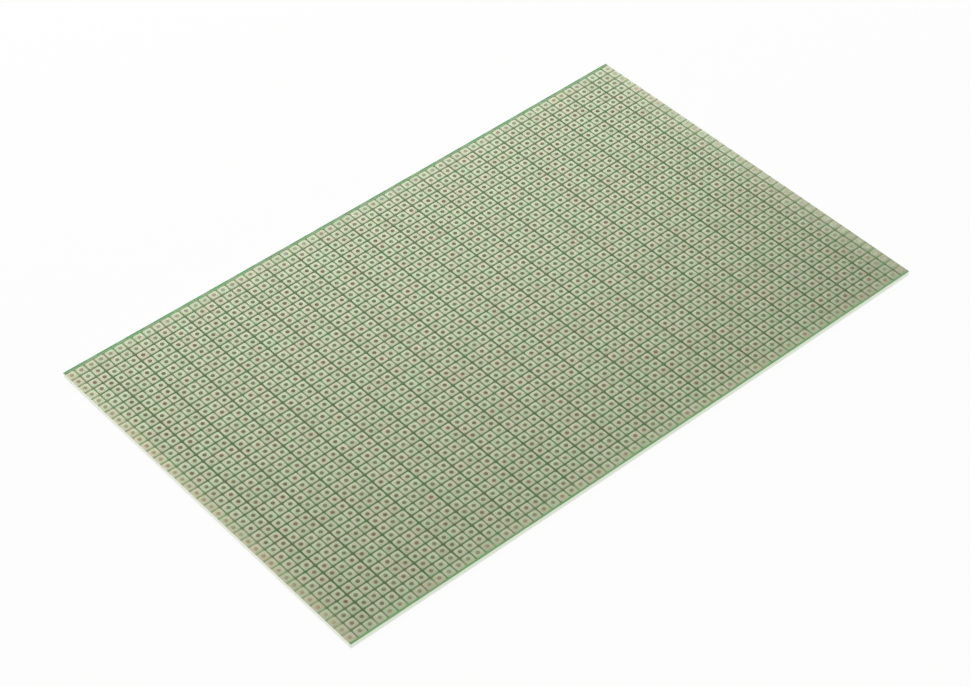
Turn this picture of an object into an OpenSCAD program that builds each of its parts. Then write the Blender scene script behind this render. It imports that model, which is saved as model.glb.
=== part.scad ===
/* [Grid] */
// Copper strips in one row along the board
strips = 21; // [3:1:21]
// Holes that one copper strip joins
strip_holes = 3; // [2:1:3]
// Rows of holes across the board
rows = 39; // [3:1:39]
// Distance between neighbouring holes
pitch = 2.54; // [2.3:0.02:2.8]

/* [Laminate] */
// Thickness of the glass-fibre laminate
board_t = 1.2; // [0.8:0.1:2.4]
// Diameter of the drilled holes
hole_d = 1; // [0.7:0.05:1.3]
// From the last hole centres to the board's short ends
end_margin = 1; // [0.85:0.01:3]
// From the first row of holes to the board's front edge
front_margin = 1.55; // [1.35:0.01:4]
// From the last row of holes to the board's back edge
back_margin = 1.93; // [1.35:0.01:4]
// Rise of the two ends over the middle, the bow that copper on one side gives a board
bow = 0.3; // [0.05:0.01:0.6]

/* [Copper strips] */
// Bare laminate between neighbouring strips
strip_gap = 0.42; // [0.2:0.01:0.7]
// Thickness of the copper with its tin
strip_t = 0.045; // [0.03:0.001:0.12]

/* [Solder mask] */
// Thickness of the mask on bare laminate
mask_t = 0.025; // [0.01:0.001:0.028]
// Width of the dam of mask that parts two pads of a strip
dam_w = 0.3; // [0.15:0.01:0.5]
// Thickness of a dam over the copper
dam_t = 0.02; // [0.01:0.001:0.05]

/* [Hidden] */
flat_l = strip_holes * pitch;               // length of board that one strip takes
pad_w = pitch - strip_gap;                  // width of a strip and of its pads
board_l = (strips * strip_holes - 1) * pitch + 2 * end_margin;
board_w = (rows - 1) * pitch + front_margin + back_margin;
dam_l = (rows - 1) * pitch + pad_w;         // from the first row's pads to the last row's
row_shift = (front_margin - back_margin) / 2; // the grid sits nearer the front edge
pass = 1;                                   // how far a cutter runs past what it cuts

// The bowed board is a chain of flats, one for each column of strips.
// Border k is the fold between flats k - 1 and k, or the board's end.
function border_x(k) =
    k == 0 ? -board_l / 2 : k == strips ? board_l / 2 : (k - strips / 2) * flat_l;
function border_z(k) =
    bow * pow(max(abs(border_x(k)) - flat_l / 2, 0) / (board_l / 2 - flat_l / 2), 2);
function flat_x(g) = (g - (strips - 1) / 2) * flat_l;
function slope(g) = (border_z(g + 1) - border_z(g)) / (border_x(g + 1) - border_x(g));
function flat_z(g) = border_z(g) + (flat_x(g) - border_x(g)) * slope(g);

// A sheet that follows the bow, from height low to height high over the underside
module sheet(low, high)
    translate([0, board_w / 2, 0])
        rotate([90, 0, 0])
            linear_extrude(board_w)
                polygon(concat(
                    [for (k = [0:strips]) [border_x(k), border_z(k) + low]],
                    [for (k = [strips:-1:0]) [border_x(k), border_z(k) + high]]));

// Places its children on flat g, with z measured square to the flat
module on_flat(g, height)
    translate([flat_x(g), 0, flat_z(g)])
        rotate([0, -atan(slope(g)), 0])
            translate([0, 0, height * cos(atan(slope(g)))])
                children();

// One copy for each row of holes
module at_rows()
    for (r = [0:rows - 1])
        translate([0, row_shift + (r - (rows - 1) / 2) * pitch])
            children();

// One copy for each hole of a strip
module at_strip_holes()
    for (h = [0:strip_holes - 1])
        translate([(h - (strip_holes - 1) / 2) * pitch, 0])
            children();

// From the middle of a strip to its end; the saw cut trims a strip at the board's end
function strip_reach(at_end) =
    (strip_holes - 1) / 2 * pitch + (at_end ? min(pad_w / 2, end_margin) : pad_w / 2);

// The copper of one strip of flat g, before it is drilled
module strip_outline(g)
    translate([-strip_reach(g == 0), -pad_w / 2])
        square([strip_reach(g == 0) + strip_reach(g == strips - 1), pad_w]);

module laminate()
    color("darkkhaki")
        difference() {
            sheet(0, board_t);
            for (g = [0:strips - 1])
                on_flat(g, 0)
                    at_rows()
                        at_strip_holes()
                            translate([0, 0, -pass])
                                cylinder(d = hole_d, h = board_t + 2 * pass, $fn = 24);
        }

module copper_strips()
    color("silver")
        for (g = [0:strips - 1])
            on_flat(g, board_t)
                at_rows()
                    linear_extrude(strip_t)
                        difference() {
                            strip_outline(g);
                            at_strip_holes() circle(d = hole_d, $fn = 24);
                        }

// The film between the strips, one sheet with a window for each strip
module mask_film()
    difference() {
        sheet(board_t, board_t + mask_t);
        for (g = [0:strips - 1])
            on_flat(g, board_t)
                at_rows()
                    translate([-flat_l / 2 + strip_gap / 2, -pad_w / 2, -pass])
                        cube([flat_l - strip_gap, pad_w, 2 * pass]);
    }

// The dams of flat g, each one lying across its strips from the first row to the last
module mask_dams(g)
    on_flat(g, board_t)
        for (h = [1:strip_holes - 1])
            translate([(h - strip_holes / 2) * pitch - dam_w / 2, row_shift - dam_l / 2, strip_t])
                cube([dam_w, dam_l, dam_t]);

module solder_mask()
    color("seagreen") {
        mask_film();
        for (g = [0:strips - 1])
            mask_dams(g);
    }

laminate();
copper_strips();
solder_mask();
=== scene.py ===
import bpy
import bmesh
import math
from mathutils import Matrix, Vector


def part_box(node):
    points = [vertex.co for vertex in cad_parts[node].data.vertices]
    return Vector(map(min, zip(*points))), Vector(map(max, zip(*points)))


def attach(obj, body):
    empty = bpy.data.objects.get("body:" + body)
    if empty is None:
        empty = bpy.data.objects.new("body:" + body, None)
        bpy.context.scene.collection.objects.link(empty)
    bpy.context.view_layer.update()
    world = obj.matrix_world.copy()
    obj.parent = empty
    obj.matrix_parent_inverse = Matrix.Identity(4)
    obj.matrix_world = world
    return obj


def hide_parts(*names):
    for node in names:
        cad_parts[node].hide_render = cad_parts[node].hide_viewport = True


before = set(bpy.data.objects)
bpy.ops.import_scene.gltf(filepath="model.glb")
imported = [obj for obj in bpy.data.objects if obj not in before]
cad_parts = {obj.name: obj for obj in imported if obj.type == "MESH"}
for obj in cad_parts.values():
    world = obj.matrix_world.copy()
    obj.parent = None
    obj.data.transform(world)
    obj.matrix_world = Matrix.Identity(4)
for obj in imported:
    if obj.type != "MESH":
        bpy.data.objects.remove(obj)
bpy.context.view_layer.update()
mm = 0.001
deg = math.pi / 180
white = (1, 1, 1, 1)
black = (0, 0, 0, 1)


board = {
    "pitch": 2.54 * mm,
    "strips": 21,           # copper strips in one row
    "stripHoles": 3,
    "rows": 39,
    "thickness": 1.2 * mm,
    "holeRadius": 0.5 * mm,
    "stripGap": 0.42 * mm,  # seen between two strips
    "damWidth": 0.3 * mm,   # seen between two pads of a strip
}
modelling = {
    "loopSides": 12,        # edges of each loop that is bridged to another
    "cornerSteps": 2,       # flats round a corner of a pad or window
    "closeTo": 0.01 * mm,   # nearer than this is the same place
    "weld": 0.002 * mm,
    "cutWeld": 1e-7,
    "sharpAngle": 35 * deg,
}
pitch = board["pitch"]
flatLength = pitch * board["stripHoles"]
columns = board["strips"] * board["stripHoles"]
boardLow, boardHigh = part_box("laminate")
copperLow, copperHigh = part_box("copper_strips")
halfLength = boardHigh.x
rowShift = (copperLow.y + copperHigh.y) / 2
bow = boardHigh.z - boardLow.z - board["thickness"]


def foldX(k):  # border between two flats of the bowed board
    if k in (0, board["strips"]):
        return halfLength if k else -halfLength
    return (k - board["strips"] / 2) * flatLength


def foldZ(k):
    reach = max(abs(foldX(k)) - flatLength / 2, 0) / (halfLength - flatLength / 2)
    return bow * reach ** 2


def topAt(x):  # height of the laminate's upper side
    k = min(max(int(x / flatLength + board["strips"] / 2), 0), board["strips"] - 1)
    share = (x - foldX(k)) / (foldX(k + 1) - foldX(k))
    return board["thickness"] + foldZ(k) + share * (foldZ(k + 1) - foldZ(k))


def roundedLoop(bm, low, high, corner, height):
    verts = bmesh.ops.create_grid(bm, x_segments=1, y_segments=1, size=0.5)["verts"]
    bmesh.ops.scale(bm, vec=(high[0] - low[0], high[1] - low[1], 1), verts=verts)
    bmesh.ops.translate(bm, vec=((low[0] + high[0]) / 2, (low[1] + high[1]) / 2, height), verts=verts)
    made = bmesh.ops.bevel(bm, geom=verts, offset=corner, offset_type="OFFSET", affect="VERTICES",
                           segments=modelling["cornerSteps"], profile=0.5, material=-1)
    return made["verts"][0].link_faces[0]


def dropFace(bm, face):  # leaves the face's edges as an open loop
    edges = list(face.edges)
    bmesh.ops.delete(bm, geom=[face], context="FACES_ONLY")
    return edges


def edgesOf(verts):  # each edge once, in the same order on every run
    return list(dict.fromkeys(e for v in verts for e in v.link_edges))


def circleLoop(bm, radius, height):
    turned = Matrix.Rotation(math.pi / modelling["loopSides"], 4, "Z")
    verts = bmesh.ops.create_circle(bm, cap_ends=False, segments=modelling["loopSides"], radius=radius,
                                    matrix=Matrix.Translation((0, 0, height)) @ turned)["verts"]
    return edgesOf(verts)


def openSquare(bm):  # equal edges round one cell of the grid
    side = modelling["loopSides"] // 4
    made = bmesh.ops.create_grid(bm, x_segments=side, y_segments=side, size=pitch / 2)["verts"]
    bmesh.ops.delete(bm, geom=[v for v in made if len(v.link_edges) == 4], context="VERTS")
    return [v for v in made if v.is_valid]


def meshObject(name, bm):
    mesh = bpy.data.meshes.new(name)
    bm.to_mesh(mesh)
    bm.free()
    made = bpy.data.objects.new(name, mesh)
    bpy.context.scene.collection.objects.link(made)
    return made


def repeat(piece, columnCount):  # copies a strip over its columns and all rows
    for count, offset in ((columnCount, (flatLength, 0, 0)), (board["rows"], (0, pitch, 0))):
        copies = piece.modifiers.new("Array", "ARRAY")
        copies.count = count
        copies.use_relative_offset = False
        copies.use_constant_offset = True
        copies.constant_offset_displace = offset
    graph = bpy.context.evaluated_depsgraph_get()
    mesh = bpy.data.meshes.new_from_object(piece.evaluated_get(graph))
    piece.modifiers.clear()
    piece.data = mesh


def openEnds(mesh):  # the saw cut runs through the last pads, clear of their round corners
    for v in mesh.vertices:
        if abs(v.co.x) > halfLength - stripLook["corner"]:
            v.co.x += math.copysign(stripLook["corner"], v.co.x)


def layOnBoard(mesh):  # drops a flat mesh onto the bowed laminate
    for v in mesh.vertices:
        v.co.x = min(max(v.co.x, -halfLength), halfLength)
        v.co.z += topAt(v.co.x)


def oneStrip(makeCell):  # the cells of one strip, about its middle
    bm = bmesh.new()
    for hole in range(board["stripHoles"]):
        cell = bmesh.new()
        makeCell(cell, hole)
        fromMiddle = hole - (board["stripHoles"] - 1) / 2
        bmesh.ops.translate(cell, vec=(fromMiddle * pitch, 0, 0), verts=cell.verts)
        held = bpy.data.meshes.new("cell")
        cell.to_mesh(held)
        cell.free()
        bm.from_mesh(held)
        bpy.data.meshes.remove(held)
    return bm


def laidOut(name, strip, first, count):  # the piece for some columns of strips, still flat
    firstX = (first - (board["strips"] - 1) / 2) * flatLength
    firstY = rowShift - (board["rows"] - 1) / 2 * pitch
    bmesh.ops.translate(strip, vec=(firstX, firstY, 0), verts=strip.verts)
    piece = meshObject(name, strip)
    repeat(piece, count)
    openEnds(piece.data)
    return piece


def finishPiece(piece, node, material):
    piece.data.shade_smooth()
    piece.data.set_sharp_from_angle(angle=modelling["sharpAngle"])
    piece.data.materials.append(material)
    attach(piece, "root")
    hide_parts(node)
    print("made", piece.name, len(piece.data.polygons), "faces")


class Wire:  # a socket of a material, with arithmetic
    def __init__(self, tree, socket):
        self.tree = tree
        self.socket = socket

    def maths(self, operation, *values):
        made = self.tree.nodes.new("ShaderNodeMath")
        made.operation = operation
        for place, value in enumerate(values):
            if isinstance(value, Wire):
                self.tree.links.new(value.socket, made.inputs[place])
            else:
                made.inputs[place].default_value = value
        return Wire(self.tree, made.outputs[0])

    def __add__(self, other):
        return self.maths("ADD", self, other)

    __radd__ = __add__

    def __sub__(self, other):
        return self.maths("SUBTRACT", self, other)

    def __rsub__(self, other):
        return self.maths("SUBTRACT", other, self)

    def __mul__(self, other):
        return self.maths("MULTIPLY", self, other)

    def __truediv__(self, other):
        return self.maths("DIVIDE", self, other)


class Finish:  # a material, and its nodes
    def __init__(self, name, **fixed):
        self.material = bpy.data.materials.new(name)
        self.material.use_nodes = True
        self.tree = self.material.node_tree
        self.shader = self.tree.nodes["Principled BSDF"]
        for socket, value in fixed.items():
            self.shader.inputs[socket.replace("_", " ")].default_value = value

    def node(self, kind, sockets=None, out=0, **settings):
        made = self.tree.nodes.new("ShaderNode" + kind)
        for name, value in settings.items():
            setattr(made, name, value)
        for name, value in (sockets or {}).items():
            if isinstance(value, Wire):
                self.tree.links.new(value.socket, made.inputs[name])
            else:
                made.inputs[name].default_value = value
        return Wire(self.tree, made.outputs[out])

    def feed(self, **wires):
        for name, wire in wires.items():
            self.tree.links.new(wire.socket, self.shader.inputs[name.replace("_", " ")])

    def mix(self, factor, first, second, blend="MIX"):
        return self.node("Mix", {0: factor, 6: first, 7: second}, out=2, data_type="RGBA", blend_type=blend)

    def tinged(self, shade, place, look):  # slow drift between two tinges
        drift = self.step(self.node("TexNoise", {0: place, 2: look["tingeScale"]}), *look["tingeLimits"])
        return self.mix(1.0, shade, self.mix(drift, look["pinkTinge"], look["greenTinge"]), "MULTIPLY")

    def parts(self, vector):
        split = self.node("SeparateXYZ", {0: vector}).socket.node
        return [Wire(self.tree, split.outputs[n]) for n in range(3)]

    def chance(self, cell, seed=None):  # a random number for each cell, another with each seed
        if seed is None:
            return self.node("TexWhiteNoise", {0: cell}, noise_dimensions="3D")
        return self.node("TexWhiteNoise", {0: cell, 1: seed}, noise_dimensions="4D")

    def step(self, value, low, high):  # 0 below low, 1 above high, smooth between
        return self.node("MapRange", {0: value, 1: low, 2: high}, interpolation_type="SMOOTHSTEP")


def colour(red, green, blue):  # a screen colour, 0 to 255, as the shader wants it
    def linear(c):
        c = c / 255
        return c / 12.92 if c <= 0.04045 else ((c + 0.055) / 1.055) ** 2.4
    return (linear(red), linear(green), linear(blue), 1)


def bowAt(x):  # the smooth curve that the flats follow
    reach = x.maths("MAXIMUM", x.maths("ABSOLUTE", x) - flatLength / 2, 0) / (halfLength - flatLength / 2)
    return reach * reach * bow


glowLook = {
    "near": 1.2 * mm,       # how far light reaches in from the left and front edges
    "far": 2.7 * mm,        # and from the right and back edges
    "ends": 0.86,
    "sides": 0.7,
    "farSide": (0.6, 1.4),  # where the glow of the right back corner takes over
}


def edgeGlow(x, y):  # light that the laminate carries in from its edges
    edges = (
        (halfLength + x, glowLook["near"], glowLook["ends"]),
        (halfLength - x, glowLook["far"], glowLook["ends"]),
        (y - boardLow.y, glowLook["near"], glowLook["sides"]),
        (boardHigh.y - y, glowLook["far"], glowLook["sides"]),
    )
    glow = 0
    for depth, reach, share in edges:
        glow = x.maths("MAXIMUM", glow, depth.maths("EXPONENT", depth * (-1 / reach)) * share)
    return glow


gridLook = {
    "gapReach": (0.99, 1.01),  # in pitches from the hole before a gap to the hole after it
    "detail": 3.0,             # of the finer noises
}


def grid(finish):  # where a point lies on the board, in pitches
    place = finish.node("TexCoord", out=3)
    x, y, z = finish.parts(place)
    u = x / pitch + columns / 2
    v = (y - rowShift) / pitch + board["rows"] / 2
    toEnd = halfLength - x.maths("ABSOLUTE", x)
    toSide = boardHigh.y - y.maths("ABSOLUTE", y)
    toLineX = u.maths("PINGPONG", u, 0.5)  # 0 on a line of the grid, 0.5 at the holes
    toLineY = v.maths("PINGPONG", v, 0.5)
    sideways = 0.5 - toLineX
    endways = 0.5 - toLineY
    fromHole = sideways * sideways + endways * endways
    alongStrip = u.maths("MODULO", u + 0.5, board["stripHoles"])
    return {
        "toLineX": toLineX, "toLineY": toLineY,
        "fromHole": fromHole.maths("SQRT", fromHole),
        "place": place, "u": u, "v": v, "z": z,
        "fromLeft": halfLength + x,
        "toSide": toSide,
        "glow": edgeGlow(x, y),
        "farther": finish.step(u / columns + v / board["rows"], *glowLook["farSide"]),
        "onGap": 1 - finish.step(alongStrip, *gridLook["gapReach"]),
        "toRim": toEnd.maths("MINIMUM", toEnd, toSide),
        "top": bowAt(x) + board["thickness"],
        "cell": finish.node("CombineXYZ", {0: u.maths("FLOOR", u), 1: v.maths("FLOOR", v)}),
    }


tinLook = {
    "plain": colour(178, 190, 162),
    "warm": colour(187, 183, 157),
    "dull": colour(158, 167, 139),
    "warmChance": (0.8, 1.5),   # random numbers at which a pad begins to turn warm, and is warm
    "warmShare": 0.4,
    "warmHole": 0.25,           # round each hole
    "holeReach": (0.22, 0.42),  # in pitches from a hole's middle
    "warmEnd": 0.4,             # of the last column on the left
    "endReach": (0.7 * pitch, pitch),
    "dullChance": (0.4, 1.0),
    "dullSeed": 7.0,
    "dullShare": 0.35,
    "metallic": 0.7,
    "smooth": 0.34,             # roughness, least and most
    "rough": 0.52,
    "cloudScale": 900.0,
    "cloudLimits": (0.45, 0.75),
    "patchScale": 260.0,
    "tingeScale": 550.0,
    "tingeLimits": (0.35, 0.65),
    "pinkTinge": (1.045, 0.98, 1.01, 1),
    "greenTinge": (0.955, 1.015, 0.99, 1),
    "waveScale": 520.0,
    "waveHeight": 0.06 * mm,
    "waveStrength": 0.35,
}


def tinFinish():
    tin = Finish("tin", Metallic=tinLook["metallic"])
    at = grid(tin)
    cloud = tin.node("TexNoise", {0: at["place"], 2: tinLook["cloudScale"], 3: gridLook["detail"]})
    patch = tin.node("TexNoise", {0: at["place"], 2: tinLook["patchScale"]})
    warmPad = tin.step(tin.chance(at["cell"]) + patch, *tinLook["warmChance"])
    dullPad = tin.step(tin.chance(at["cell"], tinLook["dullSeed"]), *tinLook["dullChance"])
    dullSpot = tin.step(cloud, *tinLook["cloudLimits"])
    aroundHole = 1 - tin.step(at["fromHole"], *tinLook["holeReach"])
    lastColumn = 1 - tin.step(at["fromLeft"], *tinLook["endReach"])
    shade = tin.mix(warmPad * tinLook["warmShare"], tinLook["plain"], tinLook["warm"])
    shade = tin.mix(dullPad * tinLook["dullShare"], shade, tinLook["dull"])
    shade = tin.mix(dullSpot * tinLook["dullShare"], shade, tinLook["dull"])
    shade = tin.mix(aroundHole * tinLook["warmHole"], shade, tinLook["warm"])
    shade = tin.mix(lastColumn * tinLook["warmEnd"], shade, tinLook["warm"])
    shade = tin.tinged(shade, at["place"], tinLook)
    waves = tin.node("TexNoise", {0: at["place"], 2: tinLook["waveScale"]})
    bump = tin.node("Bump", {0: tinLook["waveStrength"], 1: tinLook["waveHeight"], "Height": waves})
    rough = tin.node("MapRange", {0: cloud, 3: tinLook["smooth"], 4: tinLook["rough"]})
    tin.feed(Base_Color=shade, Normal=bump, Roughness=rough)
    return tin.material


maskLook = {
    "row": colour(104, 125, 83),      # film with only laminate under it, between the rows
    "gap": colour(93, 116, 70),       # and between the ends of the strips
    "copper": colour(120, 135, 102),  # film over copper, which gleams through it
    "gleam": 0.7,
    "blend": 0.01,                    # in pitches, half the width of the change at a row's edge
    "knot": colour(80, 112, 62),
    "knotReach": (0.05, 0.14),        # in pitches from the middle of a gap or dam
    "rimKnots": 0.5,                  # how much of the knots is lost under the painted rim light
    # painted light: film over bare laminate is lightened near the rim, standing in for light the laminate
    # carries in from its edges
    "rim": colour(142, 162, 114),
    "rimLightReach": 4.5 * mm,
    # painted light: the first column of film is lightened further, standing in for light coming in at the
    # left end
    "leftEndLight": colour(155, 173, 126),
    "leftReach": (0.5 * pitch, pitch),
    # the margins' colours are the film's green, partly lightened with painted light that the laminate carries
    # in at its long edges
    "frontMargin": colour(105, 165, 103),
    "backMargin": colour(98, 158, 99),
    "marginsMeet": (-1, 1),           # in pitches from the board's middle
    "nearGlow": colour(86, 92, 70),   # light that comes out of the laminate near its edges
    "farGlow": colour(104, 97, 92),
    "gloss": 0.35,                    # roughness, and more over copper
    "copperGloss": 0.42,
    "specular": 0.35,
    "tingeScale": 400.0,
    "tingeLimits": (0.35, 0.65),
    "pinkTinge": (1.15, 0.945, 1.1, 1),
    "greenTinge": (0.82, 1.065, 0.88, 1),
    "cloudScale": 350.0,
    "cloudLimits": (0.4, 0.8),
    "cloudShare": 0.25,
    "cloudHeight": 0.03 * mm,
    "cloudStrength": 0.2,
}


def maskFinish():
    mask = Finish("greenMask", Specular_IOR_Level=maskLook["specular"], Emission_Strength=1.0)
    at = grid(mask)
    halfGap = board["stripGap"] / pitch / 2
    overRow = mask.step(at["toLineY"], halfGap - maskLook["blend"], halfGap + maskLook["blend"])
    dam = overRow * (1 - at["onGap"])
    shade = mask.mix(at["onGap"] * overRow, maskLook["row"], maskLook["gap"])
    shade = mask.mix(dam, shade, maskLook["copper"])
    # painted light near the rim: lightens the film over bare laminate, but not the dams, where copper would
    # block that light
    rimLightShare = 1 - mask.step(at["toRim"], 0, maskLook["rimLightReach"])
    shade = mask.mix(rimLightShare * (1 - dam), shade, maskLook["rim"])
    # painted light at the left end of the film
    shade = mask.mix(1 - mask.step(at["fromLeft"], *maskLook["leftReach"]), shade, maskLook["leftEndLight"])
    atKnot = (1 - mask.step(at["toLineX"], *maskLook["knotReach"])) * (1 - overRow)
    shade = mask.mix(atKnot * (1 - rimLightShare * maskLook["rimKnots"]), shade, maskLook["knot"])
    halfRows = board["rows"] / 2
    fromMiddle = at["v"] - halfRows
    beyondRows = mask.step(fromMiddle.maths("ABSOLUTE", fromMiddle), halfRows - halfGap, halfRows)
    inBack = mask.step(fromMiddle, *maskLook["marginsMeet"])
    # margin colour: film green partly lightened with painted edge light
    margin = mask.mix(inBack, maskLook["frontMargin"], maskLook["backMargin"])
    shade = mask.mix(beyondRows, shade, margin)
    cloud = mask.node("TexNoise", {0: at["place"], 2: maskLook["cloudScale"], 3: gridLook["detail"]})
    darkSpot = mask.step(cloud, *maskLook["cloudLimits"])
    shade = mask.mix(darkSpot * maskLook["cloudShare"], shade, maskLook["knot"])
    shade = mask.tinged(shade, at["place"], maskLook)
    bump = mask.node("Bump", {0: maskLook["cloudStrength"], 1: maskLook["cloudHeight"], "Height": cloud})
    filmGlow = mask.mix(at["farther"], maskLook["nearGlow"], maskLook["farGlow"])
    glow = mask.mix(at["glow"] * (1 - dam), black, filmGlow)
    rough = dam * (maskLook["copperGloss"] - maskLook["gloss"]) + maskLook["gloss"]
    mask.feed(Base_Color=shade, Metallic=dam * maskLook["gleam"], Roughness=rough, Normal=bump,
              Emission_Color=glow)
    return mask.material


laminateLook = {
    "edge": colour(236, 240, 230),
    "sideTop": colour(200, 230, 194),  # green from the mask's margin just above
    "endTop": colour(242, 242, 222),
    "under": colour(196, 196, 150),
    "downward": (0.4, 0.6),            # how far a face looks down, to be the underside
    "strip": colour(168, 150, 104),    # copper that shows through from the other side
    "stripShare": 0.6,
    "stripEdge": (0.04, 0.14),         # in pitches from the middle of a gap
    "hole": colour(183, 192, 158),
    "rust": colour(192, 160, 136),
    "rustChance": (0.3, 0.9),
    "rustShare": 0.6,
    "dim": colour(142, 149, 116),
    "dimChance": (0.2, 1.0),
    "dimSeed": 3.0,
    "dimShare": 0.4,
    "edgeGlow": colour(128, 132, 126),
    "nearGlow": colour(182, 172, 148),  # in the holes, towards the left front corner
    "farGlow": colour(180, 178, 176),   # and towards the right back one
    "glowShare": 0.66,
    "glowEverywhere": 0.1,
    "roughness": 0.45,
    "rimDepth": (0.02 * mm, 0.05 * mm),
    "greenDepth": 0.1 * mm,             # how far the mask's green reaches down the edges
    "paleDepth": 0.7 * mm,
    "weaves": 5,                        # of the glass cloth, in one pitch
    "weaveLimits": (-0.6, 0.6),
    "weaveShare": 0.15,
    "weaveBump": 0.15,
    "weaveHeight": 0.04 * mm,
}


def laminateFinish():
    resin = Finish("glassLaminate", Roughness=laminateLook["roughness"], Emission_Strength=1.0)
    at = grid(resin)
    upward = resin.parts(resin.node("TexCoord", out=1))[2]
    down = resin.step(upward * -1, *laminateLook["downward"])
    inRow = resin.step(at["toLineY"], *laminateLook["stripEdge"])
    inGap = at["onGap"] * (1 - resin.step(at["toLineX"], *laminateLook["stripEdge"]))
    waves = math.tau * laminateLook["weaves"]
    weave = at["u"].maths("SINE", at["u"] * waves) * at["v"].maths("SINE", at["v"] * waves) * down
    copper = inRow * (1 - inGap) * laminateLook["stripShare"]
    under = resin.mix(copper, laminateLook["under"], laminateLook["strip"])
    glassy = resin.step(weave, *laminateLook["weaveLimits"]) * laminateLook["weaveShare"]
    under = resin.mix(glassy, under, laminateLook["edge"])
    rusty = resin.step(resin.chance(at["cell"]), *laminateLook["rustChance"]) * laminateLook["rustShare"]
    hole = resin.mix(rusty, laminateLook["hole"], laminateLook["rust"])
    other = resin.chance(at["cell"], laminateLook["dimSeed"])
    dim = resin.step(other, *laminateLook["dimChance"]) * laminateLook["dimShare"]
    hole = resin.mix(dim, hole, laminateLook["dim"])
    onSide = 1 - resin.step(at["toSide"], *laminateLook["rimDepth"])
    edge = resin.mix(onSide, laminateLook["endTop"], laminateLook["sideTop"])
    pale = resin.step(at["top"] - at["z"], laminateLook["greenDepth"], laminateLook["paleDepth"])
    edge = resin.mix(pale, edge, laminateLook["edge"])
    onEdge = 1 - resin.step(at["toRim"], *laminateLook["rimDepth"])
    shade = resin.mix(down, resin.mix(onEdge, hole, edge), under)
    holeGlow = resin.mix(at["farther"], laminateLook["nearGlow"], laminateLook["farGlow"])
    glowing = at["glow"] * laminateLook["glowShare"] + laminateLook["glowEverywhere"]
    glow = resin.mix(glowing * (1 - down), black, holeGlow)
    glow = resin.mix(onEdge * (1 - down), glow, laminateLook["edgeGlow"])
    bump = resin.node("Bump", {0: laminateLook["weaveBump"], 1: laminateLook["weaveHeight"], "Height": weave})
    resin.feed(Base_Color=shade, Normal=bump, Emission_Color=glow)
    return resin.material


stripLook = {
    "edgeHeight": 0.03 * mm,    # height of the tin at a pad's edge
    "crown": 0.012 * mm,        # rise from there to the hole
    "shoulder": 0.13 * mm,
    "corner": 0.3 * mm,
    "underMask": 0.03 * mm,     # how far the mask laps over the strip
}


def makePad(bm, hole):
    low, high = padOpening(hole)
    lapped = Vector((stripLook["underMask"],) * 2)
    low, high = Vector(low) - lapped, Vector(high) + lapped
    foot = roundedLoop(bm, low, high, stripLook["corner"], 0)
    top = roundedLoop(bm, low, high, stripLook["corner"], stripLook["edgeHeight"])
    bmesh.ops.bridge_loops(bm, edges=foot.edges[:] + top.edges[:])
    bmesh.ops.inset_individual(bm, faces=[top], thickness=stripLook["shoulder"], depth=stripLook["crown"],
                               use_even_offset=True)
    rim = circleLoop(bm, board["holeRadius"], stripLook["edgeHeight"] + stripLook["crown"])
    lowerRim = circleLoop(bm, board["holeRadius"], 0)
    for upper, lower in ((dropFace(bm, top), rim), (rim, lowerRim), (lowerRim, dropFace(bm, foot))):
        bmesh.ops.bridge_loops(bm, edges=upper + lower)


def makeNeck(bm, x):  # copper between two pads, under the dam
    made = bmesh.ops.create_cube(bm, size=1)["verts"]
    width = board["damWidth"]
    depth = pitch - board["stripGap"] - 2 * stripLook["corner"]
    bmesh.ops.scale(bm, vec=(width, depth, stripLook["edgeHeight"]), verts=made)
    bmesh.ops.translate(bm, vec=(x, 0, stripLook["edgeHeight"] / 2), verts=made)


def padOpening(hole):  # the mask's window round one hole of a strip, from the hole's centre
    halfPad = (pitch - board["stripGap"]) / 2
    byDam = (pitch - board["damWidth"]) / 2
    return ((-byDam if hole > 0 else -halfPad, -halfPad),
            (byDam if hole < board["stripHoles"] - 1 else halfPad, halfPad))


def makeStrips(name, first, count, tin):
    bm = oneStrip(makePad)
    for side in (-1, 1):
        makeNeck(bm, side * pitch / 2)
    bmesh.ops.recalc_face_normals(bm, faces=bm.faces)
    piece = laidOut(name, bm, first, count)
    layOnBoard(piece.data)
    finishPiece(piece, "copper_strips", tin)


filmLook = {
    "floor": 0.025 * mm,  # top of the film in the gap between strips
    "knot": 0.036 * mm,   # where a dam runs down into a gap
    "dam": 0.066 * mm,
    "lip": 0.052 * mm,    # at the edge of a window
    "thick": 0.02 * mm,
}


def growMargins(bm):  # the plain margins along the long sides
    for side in (-1, 1):
        border = rowShift + side * board["rows"] / 2 * pitch
        inner = [v for v in bm.verts if abs(v.co.y - border) < modelling["closeTo"]]
        outer = {v: bm.verts.new((v.co.x, side * boardHigh.y, filmLook["floor"])) for v in inner}
        for edge in edgesOf(inner):
            near, far = edge.verts
            if near in outer and far in outer:
                bm.faces.new((near, far, outer[far], outer[near]))


def makeFilmCell(bm, hole):
    low, high = padOpening(hole)
    window = dropFace(bm, roundedLoop(bm, low, high, stripLook["corner"], filmLook["lip"]))
    outer = openSquare(bm)
    border = pitch / 2 - modelling["closeTo"]
    middleThird = pitch / 2 / (modelling["loopSides"] // 4)
    straight = (pitch - board["stripGap"]) / 2 - stripLook["corner"]
    for v in outer:
        sideways = abs(v.co.x) > border
        endways = abs(v.co.y) > border
        byDam = sideways and (hole > 0 if v.co.x < 0 else hole < board["stripHoles"] - 1)
        v.co.z = filmLook["floor"]
        if byDam:
            v.co.z = filmLook["knot"] if endways else filmLook["dam"]
        if not (sideways and endways):  # the middle thirds line up with the straight edges
            if sideways:
                v.co.y *= straight / middleThird
            else:
                v.co.x *= straight / middleThird
    bmesh.ops.bridge_loops(bm, edges=window + edgesOf(outer))


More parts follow.
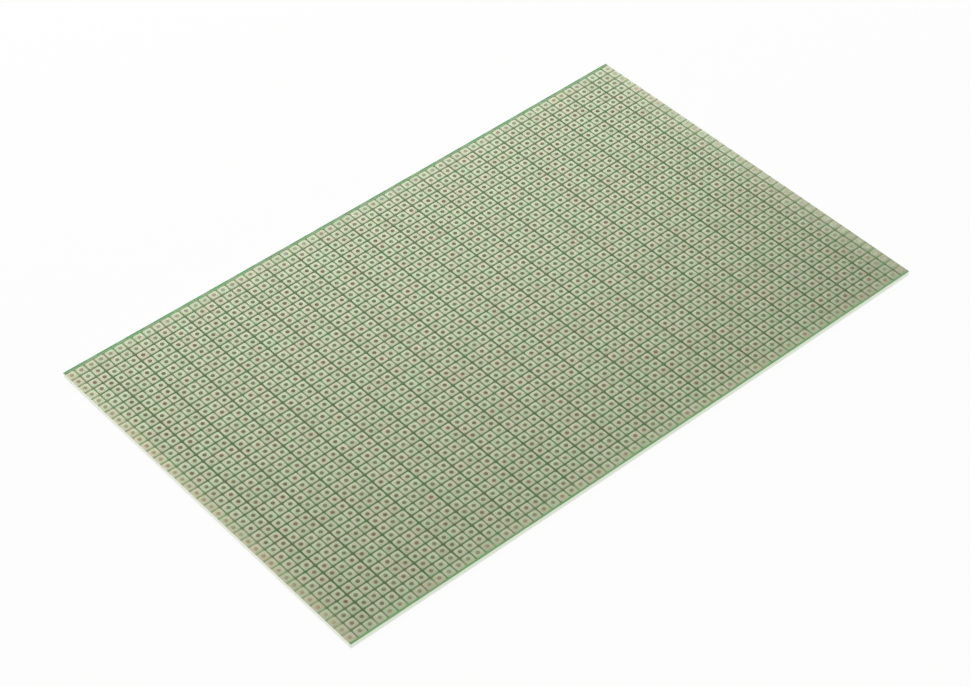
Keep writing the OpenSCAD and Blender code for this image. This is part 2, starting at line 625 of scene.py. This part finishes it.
def makeFilm(name, green):
    piece = laidOut(name, oneStrip(makeFilmCell), 0, board["strips"])
    bm = bmesh.new()
    bm.from_mesh(piece.data)
    bmesh.ops.remove_doubles(bm, verts=bm.verts, dist=modelling["weld"])
    for end in (-1, 1):  # the saw cut at the short ends
        bmesh.ops.bisect_plane(bm, geom=bm.verts[:] + bm.edges[:] + bm.faces[:], dist=modelling["cutWeld"],
                               plane_co=(end * halfLength, 0, 0), plane_no=(end, 0, 0), clear_outer=True)
    growMargins(bm)
    bmesh.ops.recalc_face_normals(bm, faces=bm.faces)
    bm.to_mesh(piece.data)
    bm.free()
    layOnBoard(piece.data)
    if piece.data.polygons[0].normal.z < 0:
        piece.data.flip_normals()
    body = piece.modifiers.new("Solidify", "SOLIDIFY")
    body.thickness = filmLook["thick"]
    body.offset = -1
    finishPiece(piece, "solder_mask", green)


tin = tinFinish()
third = board["strips"] // 3
for order, name in enumerate(("stripsLeft", "stripsMiddle", "stripsRight")):
    makeStrips(name, order * third, third, tin)
makeFilm("maskFilm", maskFinish())
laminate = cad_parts["laminate"]
laminate.data.materials.clear()
laminate.data.materials.append(laminateFinish())
print("dressed the laminate")


studio = {
    "floorSize": 12.0,
    "floorDrop": 0.02 * mm,       # from the board's underside to the floor
    "backdrop": 1.6,              # height to which the paper turns up, far behind the board
    "floorColour": (0.9, 0.9, 0.9, 1),
    "floorRoughness": 0.9,
    "paperWhite": 0.94,           # share of plain white that the eye sees in the floor
    "sky": (1, 1, 0.94, 1),
    "skyStrength": 0.5,
    "lamps": (  # name, power, size, place, aimed at
        ("back", 0.76, (0.5, 0.3), (0.11, 0.32, 0.2), (0.0, 0.08, 0)),
        ("top", 1.2, (1.0, 1.0), (-0.25, 0.1, 0.9), (0, 0, 0)),
        ("front", 0.4, (0.8, 0.8), (-0.4, -0.5, 0.5), (0, 0, 0)),
    ),
    "camera": (-257.29 * mm, -309.31 * mm, 392.64 * mm),
    "turn": (45.303, 1.195, -40.681),
    "lens": 94.67,
    "sensorWidth": 36,
    "clipStart": 0.01,
}


def seenRays(tree):  # 1 where the eye, a reflection or a view through glass meets the background
    rays = tree.nodes.new("ShaderNodeLightPath")
    seen = Wire(tree, rays.outputs["Is Camera Ray"])
    for kind in ("Is Glossy Ray", "Is Transmission Ray"):
        seen = seen.maths("MAXIMUM", seen, Wire(tree, rays.outputs[kind]))
    return seen


def makeFloor():
    bm = bmesh.new()
    bmesh.ops.create_grid(bm, x_segments=1, y_segments=1, size=studio["floorSize"] / 2)
    grown = bmesh.ops.extrude_edge_only(bm, edges=bm.edges)["geom"]
    raised = [g for g in grown if isinstance(g, bmesh.types.BMVert)]
    bmesh.ops.translate(bm, vec=(0, 0, studio["backdrop"]), verts=raised)
    bmesh.ops.translate(bm, vec=(0, 0, boardLow.z - studio["floorDrop"]), verts=bm.verts)
    floor = meshObject("floor", bm)
    paper = Finish("whitePaper", Base_Color=studio["floorColour"], Roughness=studio["floorRoughness"])
    seen = seenRays(paper.tree) * studio["paperWhite"]
    glow = paper.node("Emission", {0: white, 1: 1.0})
    matt = Wire(paper.tree, paper.shader.outputs[0])
    both = paper.node("MixShader", {0: seen, 1: matt, 2: glow})
    paper.tree.links.new(both.socket, paper.tree.nodes["Material Output"].inputs[0])
    floor.data.materials.append(paper.material)


def makeWorld():
    world = bpy.data.worlds.new("studio")
    world.use_nodes = True
    back = world.node_tree.nodes["Background"]
    back.inputs[0].default_value = studio["sky"]
    back.inputs[1].default_value = studio["skyStrength"]
    bpy.context.scene.world = world


def makeLamps():
    for name, power, size, place, aim in studio["lamps"]:
        data = bpy.data.lights.new(name, "AREA")
        data.energy = power
        data.shape = "RECTANGLE"
        data.size, data.size_y = size
        lamp = bpy.data.objects.new(name, data)
        lamp.location = place
        lamp.rotation_euler = (Vector(aim) - Vector(place)).to_track_quat("-Z", "Y").to_euler()
        bpy.context.scene.collection.objects.link(lamp)


def makeCamera():
    data = bpy.data.cameras.new("camera")
    data.lens = studio["lens"]
    data.sensor_width = studio["sensorWidth"]
    data.clip_start = studio["clipStart"]
    eye = bpy.data.objects.new("camera", data)
    eye.location = studio["camera"]
    eye.rotation_euler = [a * deg for a in studio["turn"]]
    bpy.context.scene.collection.objects.link(eye)
    bpy.context.scene.camera = eye


makeFloor()
makeWorld()
makeLamps()
makeCamera()
bpy.context.scene.view_settings.view_transform = "Standard"
print("lit the studio")
